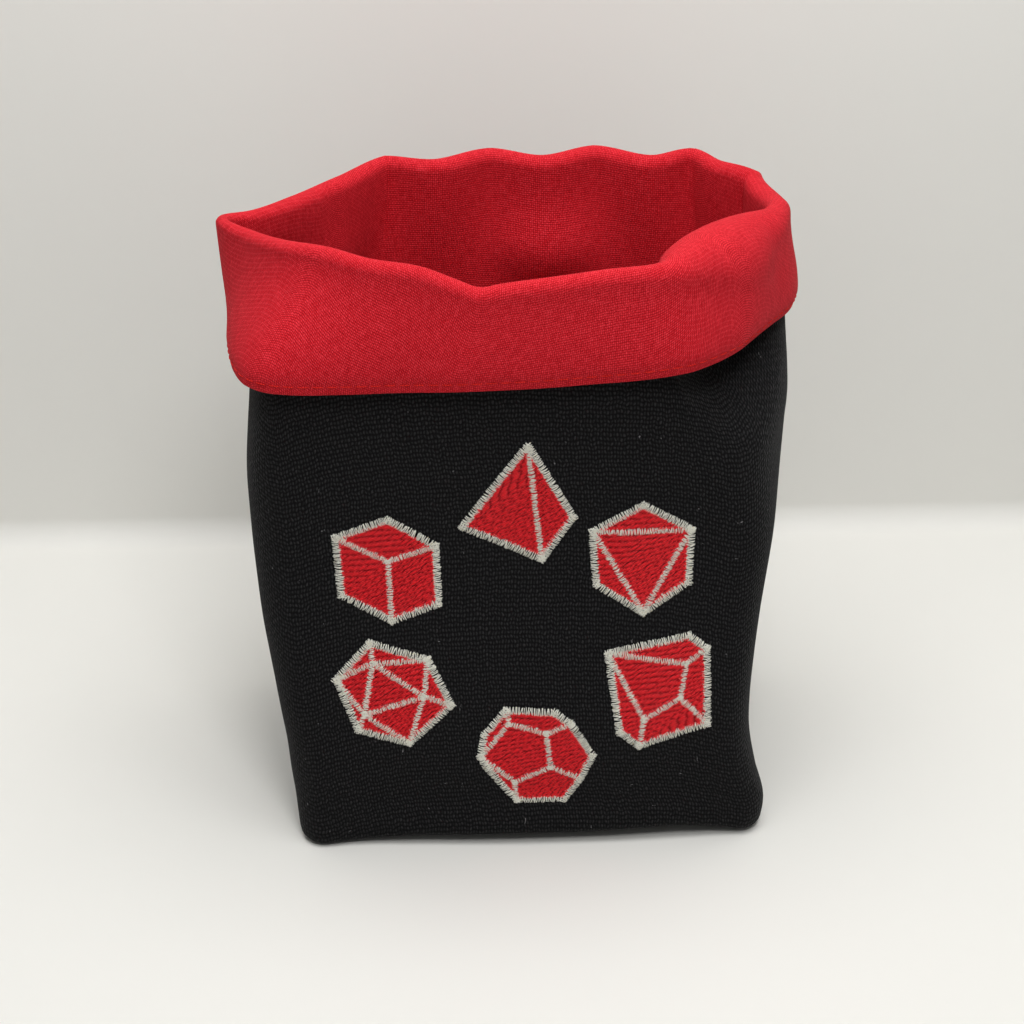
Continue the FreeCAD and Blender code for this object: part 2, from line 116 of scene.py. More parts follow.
# and from past the right seam round the back
mouthBack = [
    (62.8, 20.0, 152.0, 3.0), (60.2, 32.6, 151.8, 3.2), (57.0, 38.5, 153.3, 3.0),
    (51.0, 44.0, 153.6, 2.8), (45.4, 49.0, 154.5, 2.6), (35.0, 47.5, 154.0, 3.0),
    (20.0, 51.0, 155.5, 3.0), (6.0, 48.0, 154.3, 3.0), (-8.0, 51.0, 155.2, 3.0),
    (-22.0, 46.5, 154.0, 3.0), (-35.0, 48.4, 153.5, 2.8), (-46.2, 40.0, 152.0, 3.0),
    (-57.3, 26.5, 151.5, 2.8), (-67.6, 14.5, 151.8, 2.2),
]

# the cuff's lower edge on the lining's visible face, in the same two halves: x, y and z
hemFront = [
    (-72.8, 9.0, 127.5), (-73.0, -4.0, 126.8), (-72.5, -14.0, 126.2), (-71.0, -23.0, 125.8),
    (-67.8, -30.0, 125.5), (-63.0, -33.6, 125.2), (-57.0, -34.6, 124.8), (-45.0, -34.7, 124.6),
    (-30.0, -34.6, 124.7), (-15.0, -34.5, 124.9), (0.0, -34.5, 125.3), (12.0, -34.5, 126.1),
    (23.0, -34.5, 126.9), (31.0, -34.3, 127.8), (37.0, -33.0, 128.3), (42.0, -29.6, 128.5),
    (47.5, -24.0, 128.6), (54.0, -15.3, 128.6), (60.9, -5.6, 128.7), (66.1, 2.8, 128.5),
    (68.7, 12.0, 128.1),
]
hemBack = [
    (69.0, 22.0, 127.7), (67.2, 34.0, 127.2), (62.0, 44.0, 127.0), (54.0, 51.5, 126.6),
    (44.0, 54.2, 126.4), (25.0, 54.8, 126.2), (5.0, 54.4, 126.0), (-15.0, 54.6, 126.0),
    (-35.0, 54.4, 126.0), (-50.0, 52.8, 126.1), (-60.0, 47.0, 126.3), (-67.5, 37.0, 126.7),
    (-71.5, 24.0, 127.1),
]

# the cuff's form, in millimetres and in shares of its height
cuff = {
    "bulge": 0.8, "tuck": 0.7, "tuckStart": 0.86, "rippleShare": 0.7, "rippleShift": 31.0,
    "seamGroove": (0.6, 1.5), "seamFade": 0.3, "rounding": 0.6, "height": 25.0, "canvasShort": 1.6,
    "turnRadius": 1.2, "turnUp": 6.0,
}


def smooth(share):
    # three squares less two cubes of a share held between 0 and 1
    share = np.clip(share, 0.0, 1.0)
    return share * share * (3.0 - 2.0 * share)


def hump(place, middle, width):
    # e to the minus square of the distance over the width
    return np.exp(-((place - middle) / width) ** 2)


def through(at, keys, values):
    # a cubic between each pair of keys, with the slope at a key taken from its neighbours
    keys = np.asarray(keys, float)
    values = np.asarray(values, float)
    slopes = np.gradient(values, keys)
    index = np.clip(np.searchsorted(keys, at, side="right") - 1, 0, len(keys) - 2)
    gap = keys[index + 1] - keys[index]
    t = np.clip((at - keys[index]) / gap, 0.0, 1.0)
    square = t * t
    cube = square * t
    start = (2 * cube - 3 * square + 1) * values[index] + (cube - 2 * square + t) * gap * slopes[index]
    end = (3 * square - 2 * cube) * values[index + 1] + (cube - square) * gap * slopes[index + 1]
    return start + end


def lengthAlong(points, axis=0):
    # the length gone at each point of a line: its steps' lengths, added up from 0
    steps = np.linalg.norm(np.diff(points, axis=axis), axis=-1)
    return np.insert(np.cumsum(steps, axis=axis), 0, 0.0, axis=axis)


def unit(ways):
    # directions over their own lengths
    return ways / np.linalg.norm(ways, axis=-1, keepdims=True)


def loopKeys(front, back):
    # place round the bag from 0 at the left seam to 1 at the right one and 2 back at the left,
    # by length in plan, with a few keys repeated past both ends
    places = []
    for offset, half in enumerate((front, [front[-1], *back, front[0]])):
        gone = lengthAlong(np.array(half)[:, :2])
        places.append(offset + gone[:-1] / gone[-1])
    place = np.concatenate(places)
    rows = np.array(front + back)
    place = np.concatenate([place[-4:] - 2.0, place, place[:4] + 2.0])
    rows = np.concatenate([rows[-4:], rows, rows[:4]])
    return place, rows


mouthKeys = loopKeys(mouthFront, mouthBack)
hemKeys = loopKeys(hemFront, hemBack)
sideHeight, sideLeft, sideRight = np.array(sides, float).T
footPlace, footPush, footLifted = np.array(foot, float).T


def loopLine(q, keys):
    # every column of the keys at a place round the bag
    q = np.mod(q, 2.0)
    return [through(q, keys[0], keys[1][:, k]) for k in range(keys[1].shape[1])]


def loopAt(q, keys, step):
    # the line's own values, and the level direction square to it, outwards, from points a little
    # before and after
    before = loopLine(q - step, keys)
    after = loopLine(q + step, keys)
    alongX = after[0] - before[0]
    alongY = after[1] - before[1]
    size = np.hypot(alongX, alongY)
    return loopLine(q, keys) + [alongY / size, -alongX / size]


# sharp and soft creases of the mouth: place round the bag, width in the same units, push out
creases = [
    (1.688, 0.03, 3.4), (1.532, 0.03, 1.0), (1.376, 0.03, 1.2), (1.232, 0.026, 3.0), (1.13, 0.016, 2.0),
]

# soft inward sags of the wall behind the cuff, above which it leans out: place, width and depth
sags = [(1.45, 0.075, 4.0), (1.8, 0.06, 3.4)]
sagHeight = {"middle": 128.0, "width": 10.0}
slopeStep = {"mouth": 0.008, "hem": 0.012}


def mouthAt(q):
    # the crest line, pushed out at each crease by e to the minus distance over the crease's width
    x, y, z, radius, outX, outY = loopAt(q, mouthKeys, slopeStep["mouth"])
    place = np.mod(q, 2.0)
    push = sum(size * np.exp(-np.abs(place - middle) / width) for middle, width, size in creases)
    return [x + outX * push, y + outY * push, z, radius, outX, outY]


def hemAt(q):
    # the hem's line, with the direction out of it
    return loopAt(q, hemKeys, slopeStep["hem"])


def planHalf(u, left, right, face, seam, side, leftRadius, rightRadius):
    # a rounded corner line from the left seam to the right one by share of its length:
    # each straight and each corner turn is the distance gone, held between its two ends
    leftRun = np.abs(face - seam) - leftRadius
    rightRun = np.abs(face - seam) - rightRadius
    across = right - left - leftRadius - rightRadius
    leftArc = leftRadius * math.pi / 2
    rightArc = rightRadius * math.pi / 2
    gone = u * (leftRun + leftArc + across + rightArc + rightRun)
    first = np.clip(gone, 0.0, leftRun)
    firstTurn = np.clip((gone - leftRun) / leftRadius, 0.0, math.pi / 2)
    middle = np.clip(gone - leftRun - leftArc, 0.0, across)
    secondTurn = np.clip((gone - leftRun - leftArc - across) / rightRadius, 0.0, math.pi / 2)
    last = np.clip(gone - leftRun - leftArc - across - rightArc, 0.0, rightRun)
    x = left + leftRadius * (1 - np.cos(firstTurn)) + middle + rightRadius * np.sin(secondTurn)
    run = first + leftRadius * np.sin(firstTurn) - rightRadius * (1 - np.cos(secondTurn)) - last
    turn = firstTurn + secondTurn
    return x, seam + side * run, -np.cos(turn), side * np.sin(turn)


def foldedBack(q):
    # which side a place is on, and its share of the way from the left seam to the right one
    q = np.mod(q, 2.0)
    isFront = q < 1.0
    return np.where(isFront, -1.0, 1.0), np.where(isFront, q, 2.0 - q)


def frontFace(z):
    # half the base's depth, less the lean that eases in with height
    start, end = wall["leanSpan"]
    return -wall["depth"] + wall["frontLean"] * smooth((z - start) / (end - start))


def backFace(z):
    # half the base's depth and a lean outwards up to the rim
    return wall["depth"] + wall["backLean"] * smooth(z / wall["rim"])


def wallPlan(q, z):
    # the canvas's outer face at a height, and the level direction out of it
    side, u = foldedBack(q)
    left = through(z, sideHeight, sideLeft)
    right = through(z, sideHeight, sideRight)
    front = frontFace(z)
    back = backFace(z)
    face = np.where(side < 0, front, back)
    radius = wall["footRadius"] + (wall["cornerRadius"] - wall["footRadius"]) * smooth(z / wall["cornerFull"])
    start, end = wall["shoulderSpan"]
    wide = radius + (wall["shoulderRadius"] - radius) * smooth((z - start) / (end - start))
    return planHalf(u, left, right, face, (front + back) / 2, side, radius, wide)


def ripples(q, z):
    # soft unevenness: the sum of the waves' sines, which starts above the foot, and the foot's own push
    u = foldedBack(q)[1]
    around = q * math.pi
    total = sum(size * np.sin(turns * around + rise * z + start) for turns, rise, start, size in waves)
    push = through(u, footPlace, footPush) * (1.0 - smooth(z / wall["footHeight"]))
    return wall["ripple"] * total * smooth(z / wall["rippleStart"]) + push


def footLift(q, z):
    # how far the foot's front edge stands off the table, less and less up the wall
    side, u = foldedBack(q)
    lift = np.where(side < 0, np.maximum(through(u, footPlace, footLifted), 0.0), 0.0)
    return lift * (1.0 - smooth(z / wall["footHeight"]))


def seamDip(q, depth, width):
    # a groove at each side seam: e to the minus square of the distance over the groove's width
    away = np.abs(np.mod(q + 0.5, 1.0) - 0.5) * wall["clothWidth"]
    return depth * np.exp(-(away / width) ** 2)


def rollRadius(radius, depth):
    # a layer's radius in the roll: the visible one less its depth, squeezed where the roll is tight
    squeeze = np.minimum(1.0, (radius - wall["tightest"]) / visibleDepth)
    return radius - (visibleDepth - depth) * squeeze


def wallPoint(q, z, depth):
    # the wall up to the start of the roll: the plan at its height, which goes over to the cuff's line at the
    # shoulder and to the mouth's line above the neck, less the sags
    q, z = np.broadcast_arrays(np.asarray(q, float), np.asarray(z, float))
    place = np.mod(q, 2.0)
    x, y, outX, outY = wallPlan(q, z)
    push = ripples(q, z) - seamDip(q, *wall["seamGroove"]) - depth
    x = x + outX * push
    y = y + outY * push
    hemX, hemY, _, hemOutX, hemOutY = hemAt(q)
    nearRight = hump(place, rightEnd["middle"], rightEnd["width"])
    under = wall["underCuff"] * (1.0 - rightEnd["closer"] * nearRight) + visibleDepth + depth
    low, high = wall["cuffLineSpan"]
    low = low + rightEnd["higher"] * nearRight
    blend = smooth((z - low) / (high - low))
    x = x + (hemX - hemOutX * under - x) * blend
    y = y + (hemY - hemOutY * under - y) * blend
    crestX, crestY, crestZ, radius, mouthX, mouthY = mouthAt(q)
    ease = wall["neckEase"]
    backShare = smooth((place - 1.0) / ease) * smooth((2.0 - place) / ease)
    neck = wall["frontNeck"] + (wall["backNeck"] - wall["frontNeck"]) * backShare
    neck = neck - lowNeck["lower"] * hump(place, lowNeck["middle"], lowNeck["width"])
    blend = smooth((z - neck) / (crestZ - radius - neck))
    inner = rollRadius(radius, depth)
    x = x + (crestX - mouthX * inner - x) * blend
    y = y + (crestY - mouthY * inner - y) * blend
    sag = sum(size * hump(place, middle, width) for middle, width, size in sags)
    sag = sag * hump(z, sagHeight["middle"], sagHeight["width"])
    return np.stack([x - mouthX * sag, y - mouthY * sag, z + footLift(q, z)], -1)


def rollPoint(q, turn, depth):
    # half a circle round the mouth's centre line, from the inside over the top to the outside
    q, turn = np.broadcast_arrays(q, turn)
    crestX, crestY, crestZ, radius, outX, outY = mouthAt(q)
    size = rollRadius(radius, depth)
    away = -np.cos(turn) * size
    height = crestZ - radius + np.sin(turn) * size
    return np.stack([crestX + outX * away, crestY + outY * away, height], -1)


def cuffPoint(q, share, depth):
    # from the roll's outer side (share 0) down to the hem (share 1), a little rounded between
    q, share = np.broadcast_arrays(np.asarray(q, float), np.asarray(share, float))
    x, y, hemZ, outX, outY = hemAt(q)
    crestX, crestY, crestZ, radius, mouthX, mouthY = mouthAt(q)
    size = rollRadius(radius, depth)
    top = crestZ - radius
    z = top + (hemZ - top) * share
    blend = smooth(share) * cuff["rounding"] + share * (1.0 - cuff["rounding"])
    push = depth - visibleDepth + cuff["bulge"] * np.sin(math.pi * share)
    push = push - cuff["tuck"] * smooth((share - cuff["tuckStart"]) / (1.0 - cuff["tuckStart"]))
    push = push + cuff["rippleShare"] * ripples(q, z + cuff["rippleShift"])
    push = push - seamDip(q, *cuff["seamGroove"]) * (1 - cuff["seamFade"] * share)
    x = crestX + mouthX * size + (x + outX * push - crestX - mouthX * size) * blend
    y = crestY + mouthY * size + (y + outY * push - crestY - mouthY * size) * blend
    return np.stack([x, y, z], -1)


def turnedHem(q, turn, depth):
    # the lining's edge goes half round under the canvas's end: a half circle about a line inside the hem
    q, turn = np.broadcast_arrays(q, turn)
    edge = cuffPoint(q, 1.0, visibleDepth)
    outX, outY = hemAt(q)[3:]
    size = cuff["turnRadius"] - (visibleDepth - depth)
    away = np.cos(turn) * size - cuff["turnRadius"]
    return edge + np.stack([outX * away, outY * away, -np.sin(turn) * size], -1)


def basePoint(q, share, depth):
    # the base: from the seam line under the middle (share 0) out to the start of the bend (share 1)
    side, u = foldedBack(q)
    zero = 0.0 * u
    x, y, outX, outY = wallPlan(q, zero)
    x = x - outX * wall["bend"]
    y = y - outY * wall["bend"]
    left, right = [through(0.0, sideHeight, edge) for edge in (sideLeft, sideRight)]
    left = left + wall["bend"]
    right = right - wall["bend"]
    seamX = left + (right - left) * u
    lift = footLift(q, zero) * smooth((share - 0.5) / 0.5)
    return np.stack([seamX + (x - seamX) * share, y * share, depth + lift], -1)


def bendPoint(q, turn, depth):
    # a quarter circle from the base up to the wall
    size = wall["bend"] - depth
    z = wall["bend"] - size * np.cos(turn)
    x, y, outX, outY = wallPlan(q, z)
    away = wall["bend"] - size * np.sin(turn)
    push = ripples(q, z) - seamDip(q, *wall["seamGroove"]) * np.sin(turn) - away
    return np.stack([x + outX * push, y + outY * push, z + footLift(q, z)], -1)


# rows of points on each stretch of a cloth, from the base seam up, over the rim and down to the hem
rowCounts = {"base": 15, "bend": 7, "wall": 90, "roll": 19, "cuff": 26, "hem": 9, "turnUp": 5}


def layerRows(q, depth, isLining):
    # one face of a cloth: each stretch's own formula at even steps, one row per step
    row = q[None, :]
    lowest = wall["bend"]
    crestZ, radius = mouthAt(q)[2:4]
    top = (crestZ - radius)[None, :]
    baseShare = np.linspace(0.0, 1.0, rowCounts["base"])[:-1, None]
    bendTurn = np.linspace(0.0, math.pi / 2, rowCounts["bend"])[:-1, None]
    wallShare = np.linspace(0.0, 1.0, rowCounts["wall"])[:-1, None]
    rollTurn = np.linspace(0.0, math.pi, rowCounts["roll"])[:-1, None]
    lastShare = 1.0 if isLining else 1.0 - cuff["canvasShort"] / cuff["height"]
    cuffShare = np.linspace(0.0, lastShare, rowCounts["cuff"])[:, None]
    parts = [
        basePoint(row + 0 * baseShare, baseShare, depth),
        bendPoint(row + 0 * bendTurn, bendTurn, depth),
        wallPoint(row, lowest + (top - lowest) * wallShare, depth),
        rollPoint(row + 0 * rollTurn, rollTurn, depth),
        cuffPoint(row, cuffShare, depth),
    ]
    if isLining:
        hemTurn = np.linspace(0.0, math.pi, rowCounts["hem"])[1:, None]
        hem = turnedHem(row + 0 * hemTurn, hemTurn, depth)
        rise = np.linspace(0.0, cuff["turnUp"], rowCounts["turnUp"])[1:, None, None]
        parts += [hem, hem[-1:] + rise * np.array([0.0, 0.0, 1.0])]
    return np.concatenate(parts)


def gridFaces(rows, columns):
    # four corner numbers of each square of a grid whose points are numbered row by row
    corner = np.arange(rows - 1)[:, None] * columns + np.arange(columns - 1)[None, :]
    corner = corner.ravel()
    return np.stack([corner, corner + 1, corner + columns + 1, corner + columns], -1)


def makePiece(name, points, faces, attributes, finish, nodes, sharp=50.0):
    # points in millimetres and faces as index lists become a closed mesh with its faces outwards
    mesh = bpy.data.meshes.new(name)
    mesh.from_pydata((points * mm).tolist(), [], faces)
    for label, values in attributes.items():
        layer = mesh.attributes.new(label, "FLOAT_VECTOR", "POINT")
        layer.data.foreach_set("vector", np.ascontiguousarray(values, dtype=np.float32).ravel())
    shell = bmesh.new()
    shell.from_mesh(mesh)
    bmesh.ops.recalc_face_normals(shell, faces=shell.faces)
    shell.to_mesh(mesh)
    shell.free()
    mesh.shade_smooth()
    mesh.set_sharp_from_angle(angle=math.radians(sharp))
    piece = bpy.data.objects.new(name, mesh)
    scene.collection.objects.link(piece)
    mesh.materials.append(finish)
    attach(piece, "root")
    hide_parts(*nodes)
    return piece


def closedSheet(first, second, cloth):
    # two faces of a cloth as equal grids, joined all round their edges
    rows, columns = first.shape[:2]
    count = rows * columns
    points = np.concatenate([first.reshape(-1, 3), second.reshape(-1, 3)])
    top = gridFaces(rows, columns)
    bottom = top[:, ::-1] + count
    number = np.arange(count).reshape(rows, columns)
    rim = np.concatenate([number[0, :-1], number[:-1, -1], number[-1, :0:-1], number[:0:-1, 0]])
    follow = np.roll(rim, -1)
    edge = np.stack([follow, rim, rim + count, follow + count], -1)
    faces = np.concatenate([top, bottom, edge]).tolist()
    values = np.concatenate([cloth.reshape(-1, 3)] * 2)
    return points, faces, values


def clothPlaces(rows, q):
    # place on the flat cloth: across by share of its width, along by length from the base seam
    u = foldedBack(np.clip(q, 0.0, 2.0 - 1e-7))[1]
    along = lengthAlong(rows)
    across = np.broadcast_to(u * wall["clothWidth"], along.shape)
    return np.stack([across, along, np.zeros_like(along)], -1)


def meshArea(piece):
    # half the surface of a closed cloth, in square metres
    return sum(face.area for face in piece.data.polygons) / 2


class Wire:
    # a socket that takes part in sums: each sum adds a Math node
    def __init__(self, finish, socket):
        self.finish = finish
        self.socket = socket

    def __add__(self, other):
        return self.finish.maths("ADD", self, other)

    def __sub__(self, other):
        return self.finish.maths("SUBTRACT", self, other)

    def __rsub__(self, other):
        return self.finish.maths("SUBTRACT", other, self)

    def __mul__(self, other):
        return self.finish.maths("MULTIPLY", self, other)

    def __pow__(self, other):
        return self.finish.maths("POWER", self, other)

    __radd__ = __add__
    __rmul__ = __mul__


class Finish:
    # a material whose shader is built node by node
    def __init__(self, name, **constants):
        self.material = bpy.data.materials.new(name)
        self.material.use_nodes = True
        self.tree = self.material.node_tree
        self.tree.nodes.clear()
        self.shader = self.tree.nodes.new("ShaderNodeBsdfPrincipled")
        self.end = self.tree.nodes.new("ShaderNodeOutputMaterial")
        self.tree.links.new(self.shader.outputs[0], self.end.inputs["Surface"])
        self.feed(**constants)

    def node(self, kind, settings=None, inputs=None, output=0):
        made = self.tree.nodes.new(kind)
        for key, value in (settings or {}).items():
            setattr(made, key, value)
        for key, value in (inputs or {}).items():
            self.join(made.inputs[key], value)
        return Wire(self, made.outputs[output])

    def join(self, socket, value):
        if isinstance(value, Wire):
            self.tree.links.new(value.socket, socket)
        else:
            socket.default_value = value

    def feed(self, **inputs):
        for key, value in inputs.items():
            self.join(self.shader.inputs[key.replace("_", " ")], value)

    def maths(self, kind, *values):
        return self.node("ShaderNodeMath", {"operation": kind}, dict(enumerate(values)))

    def mix(self, factor, first, second):
        settings = {"data_type": "RGBA", "clamp_factor": True}
        return self.node("ShaderNodeMix", settings, {0: factor, 6: first, 7: second}, 2)

    def places(self, name):
        # the mesh's own places of that name: the whole vector and its three parts
        place = self.node("ShaderNodeAttribute", {"attribute_name": name}, None, 1)
        parts = self.tree.nodes.new("ShaderNodeSeparateXYZ")
        self.join(parts.inputs[0], place)
        return [place] + [Wire(self, socket) for socket in parts.outputs]

    def vector(self, x, y, z=0.0):
        return self.node("ShaderNodeCombineXYZ", None, {0: x, 1: y, 2: z})

    def noise(self, vector, scale, detail=2.0):
        return self.node("ShaderNodeTexNoise", None, {"Vector": vector, "Scale": scale, "Detail": detail})

    def ramp(self, value, low, high):
        # 0 below low and 1 above high, eased between
        settings = {"interpolation_type": "SMOOTHSTEP"}
        return self.node("ShaderNodeMapRange", settings, {0: value, 1: low, 2: high})

    def bump(self, height, distance, strength=1.0):
        inputs = {"Height": height, "Distance": distance, "Strength": strength}
        return self.node("ShaderNodeBump", None, inputs)


def colour(red, green, blue):
    # screen values from 0 to 255 as the linear colour that a shader takes
    share = np.array([red, green, blue]) / 255.0
    linear = np.where(share <= 0.04045, share / 12.92, ((share + 0.055) / 1.055) ** 2.4)
    return (*[float(part) for part in linear], 1.0)


def weave(cloth, sizes):
    # a plain weave: the product of two sines is high where a warp thread is on top and low where a weft
    # one is; slow noise makes the threads wander, and quicker noise makes them shake
    place, across, along, _ = cloth.places("cloth")
    warpAcross, warpAlong = sizes["warpWander"]
    weftAcross, weftAlong, start = sizes["weftWander"]
    wander = cloth.noise(cloth.vector(across * warpAcross, along * warpAlong), 1.0)
    wander2 = cloth.noise(cloth.vector(across * weftAcross, along * weftAlong, start), 1.0)
    shake = (cloth.noise(place, sizes["shakeScale"], 1.0) - 0.5) * 1.6
    warp = across * (math.pi / sizes["across"]) + (wander - 0.5) * sizes["wander"] + shake
    weft = along * (math.pi / sizes["along"]) + (wander2 - 0.5) * sizes["wander"] + shake
    checks = cloth.maths("SINE", warp) * cloth.maths("SINE", weft)
    return place, across, along, checks, cloth.maths("ABSOLUTE", checks)


# the black canvas: thread spacing across and along, in millimetres, the threads' wander and its colours, with
# painted shade for the gaps between threads and a painted highlight for the knuckles
canvasCloth = {
    "across": 0.79, "along": 1.2, "warpWander": (0.13, 0.4), "weftWander": (0.5, 0.11, 7.0),
    "wander": 5.0, "shakeScale": 0.9, "paintedShade": (4, 4, 5), "body": (19, 19, 20),
    "knuckleHighlight": (47, 46, 47), "lint": (150, 148, 150), "lintShare": 0.75, "fuzz": 0.35,
    "relief": 0.00022,
}


def canvasFinish():
    # the weave's height gives the tone: painted shade in the gaps between threads and a painted highlight on
    # the raised knuckles, each thread a little different
    cloth = Finish("blackCanvas", Roughness=0.9, Sheen_Weight=0.05, Sheen_Roughness=0.4,
                   Specular_IOR_Level=0.12)
    place, across, along, checks, cells = weave(cloth, canvasCloth)
    perThread = cloth.noise(cloth.vector(across * 1.3, along * 0.85), 1.0, 1.0)
    height = (checks * 0.5 + 0.5) * 0.25 + cells * 0.75
    paintedShade, body, knuckleHighlight, lint = [colour(*canvasCloth[key]) for key in ("paintedShade", "body", "knuckleHighlight", "lint")]
    # painted shade where the weave is low, then a painted highlight where it is high
    tone = cloth.mix(cloth.ramp(height, 0.05, 0.5), paintedShade, body)
    tone = cloth.mix(cloth.ramp(height * (perThread * 1.6 + 0.2), 0.3, 1.15), tone, knuckleHighlight)
    # lint: the near parts of scattered points, drawn out across or along and bent by noise
    bend = cloth.noise(place, 0.35)
    lintMask = 0.0
    for stretchX, stretchY, shift in ((0.34, 0.085, 0.0), (0.1, 0.3, 31.0)):
        spot = cloth.vector(across * stretchX + bend * 0.9 + shift, along * stretchY + bend * 0.6)
        near = cloth.node("ShaderNodeTexVoronoi", {"feature": "F1"}, {"Vector": spot, "Scale": 1.0})
        lintMask = 1.0 - cloth.ramp(near, 0.025, 0.06) + lintMask
    broken = cloth.ramp(cloth.noise(place, 1.7, 3.0), 0.42, 0.62)
    tone = cloth.mix(lintMask * broken * canvasCloth["lintShare"], tone, lint)
    fuzz = cloth.noise(place, 3.5, 3.0) * canvasCloth["fuzz"]
    cloth.feed(Base_Color=tone, Normal=cloth.bump(height + fuzz, canvasCloth["relief"], 0.9))
    return cloth.material


# the red cotton: finer thread, with its own wander and colours, with painted shade for the pinholes and a
# painted highlight for the knuckles
cottonCloth = {
    "across": 0.47, "along": 0.58, "warpWander": (0.12, 0.4), "weftWander": (0.4, 0.1, 5.0),
    "wander": 2.6, "shakeScale": 1.1, "holeShade": (128, 3, 12), "body": (196, 22, 34),
    "knuckleHighlight": (228, 54, 66), "sheen": (255, 110, 120), "relief": 0.00012,
}


def cottonFinish():
    # the weave, with painted shade in a pinhole at each corner between threads, a painted highlight on the
    # knuckles, and thick and thin threads
    cloth = Finish("redCotton", Roughness=0.85, Sheen_Weight=0.08, Sheen_Roughness=0.5,
                   Sheen_Tint=colour(*cottonCloth["sheen"]), Specular_IOR_Level=0.12)
    place, across, along, checks, cells = weave(cloth, cottonCloth)
    holes = 1.0 - cells ** 0.7
    weftSlub = cloth.noise(cloth.vector(across * 0.35, along * 2.1), 1.0)
    warpSlub = cloth.noise(cloth.vector(across * 2.3, along * 0.3, 3.0), 1.0)
    uneven = (weftSlub + warpSlub) * 0.9 - 0.9
    # the knuckles' painted highlight, made uneven by the slubs' random tone
    slubAndHighlight = cloth.ramp(checks * 0.18 + cells * 0.55 + uneven + 0.3, 0.3, 1.1)
    holeShade, body, knuckleHighlight = [colour(*cottonCloth[key]) for key in ("holeShade", "body", "knuckleHighlight")]
    tone = cloth.mix(slubAndHighlight, body, knuckleHighlight)
    # painted shade in the pinholes
    tone = cloth.mix(cloth.ramp(holes - uneven * 0.5, 0.35, 1.1) * 0.85, tone, holeShade)
    height = checks * 0.2 + (1.0 - holes) * 0.8 + uneven * 0.3
    cloth.feed(Base_Color=tone, Normal=cloth.bump(height, cottonCloth["relief"], 0.8))
    return cloth.material


def threadFinish(name, paintedShade, paintedHighlight, twist, **constants):
    # two plies round each other: painted shade and painted highlight in stripes that go round the thread once
    # in each twist's length along it, made uneven by noise
    thread = Finish(name, **constants)
    _, along, around, number = thread.places("thread")
    angle = along * (2 * math.pi / twist) + around * (2 * math.pi) + number
    ply = thread.maths("SINE", angle) * 0.5 + 0.5
    uneven = thread.noise(thread.vector(along * 1.4, number * 3.7), 1.0)
    shade = thread.ramp(ply * 0.6 + uneven * 0.9, 0.2, 1.1)
    tone = thread.mix(shade, colour(*paintedShade), colour(*paintedHighlight))
    thread.feed(Base_Color=tone, Normal=thread.bump(ply, 0.00006, 0.7))
    return thread.material


# the foil thread's painted shade and painted highlight on its facets, its warm painted glints and how much of
# them shows
silverThreads = {"paintedShade": (60, 60, 56), "paintedHighlight": (238, 237, 226), "glint": (226, 210, 150), "glintShare": 0.55}


def silverFinish():
    # a foil thread: painted highlight on bright facets and painted shade on dark ones, by noise along the
    # thread and for each thread, with a few warm painted glints
    thread = Finish("silverThread", Roughness=0.42, Specular_IOR_Level=0.6, Metallic=0.35)
    _, along, around, number = thread.places("thread")
    paintedShade, paintedHighlight, glint = [colour(*silverThreads[key]) for key in ("paintedShade", "paintedHighlight", "glint")]
    ply = thread.maths("SINE", along * 14.0 + around * (2 * math.pi) + number) * 0.5 + 0.5
    facet = thread.noise(thread.vector(along * 2.6, around * 1.5, number * 23.0), 1.0, 3.0)
    each = thread.noise(thread.vector(number * 71.0, 3.0), 1.0, 1.0)
    shade = thread.ramp(facet * 0.9 + each * 0.7 + ply * 0.12 - 0.2, 0.28, 0.62)
    tone = thread.mix(shade, paintedShade, paintedHighlight)
    # a few painted glints in a warm colour
    paintedGlintSpots = thread.noise(thread.vector(along * 1.7 + 40.0, number * 2.9), 1.0, 1.0)
    tone = thread.mix(thread.ramp(paintedGlintSpots, 0.62, 0.74) * silverThreads["glintShare"], tone, glint)
    thread.feed(Base_Color=tone, Normal=thread.bump(ply + facet, 0.00006, 0.8))
    return thread.material


blackCanvas = canvasFinish()
redCotton = cottonFinish()
# each thread's colours in painted shade and in painted highlight, and its twist's length
redThread = threadFinish("redThread", (196, 6, 16), (252, 24, 40), 0.55, Roughness=0.4,
                         Specular_IOR_Level=0.4)
orangeThread = threadFinish("orangeRedThread", (178, 16, 20), (228, 46, 40), 0.6, Roughness=0.8,
                            Specular_IOR_Level=0.1)
blackThread = threadFinish("blackThread", (8, 8, 9), (34, 34, 36), 0.6, Roughness=0.6)
silverThread = silverFinish()


def backingFinish():
    # pressed fibres: fine noise over broad noise in near white
    cloth = Finish("whiteBacking", Roughness=0.9)
    place = cloth.node("ShaderNodeTexCoord", None, None, 3)
    fibres = cloth.noise(place, 2600.0, 4.0)
    tone = cloth.mix(cloth.ramp(fibres, 0.3, 0.7), colour(205, 204, 200), colour(240, 240, 237))
    cloth.feed(Base_Color=tone, Normal=cloth.bump(fibres, 0.0001, 0.6))
    return cloth.material


whiteBacking = backingFinish()
print("finishes made")


panelColumns = 171
justInside = 1e-9


def makePanel(name, cloth, start, finish, node):
    # one panel from one seam to the other, both of its faces and its thickness;
    # its last column is the seam itself, just inside its own half of the bag
    isLining = cloth == "lining"
    q = start + np.linspace(0.0, 1.0, panelColumns)
    q = np.clip(q, start, start + 1.0 - justInside)
    outer, inner = layers[cloth]
    first = layerRows(q, outer, isLining)
    second = layerRows(q, inner, isLining)
    shown = second if isLining else first
    points, faces, values = closedSheet(first, second, clothPlaces(shown, q))
    return makePiece(name, points, faces, {"cloth": values}, finish, [node])


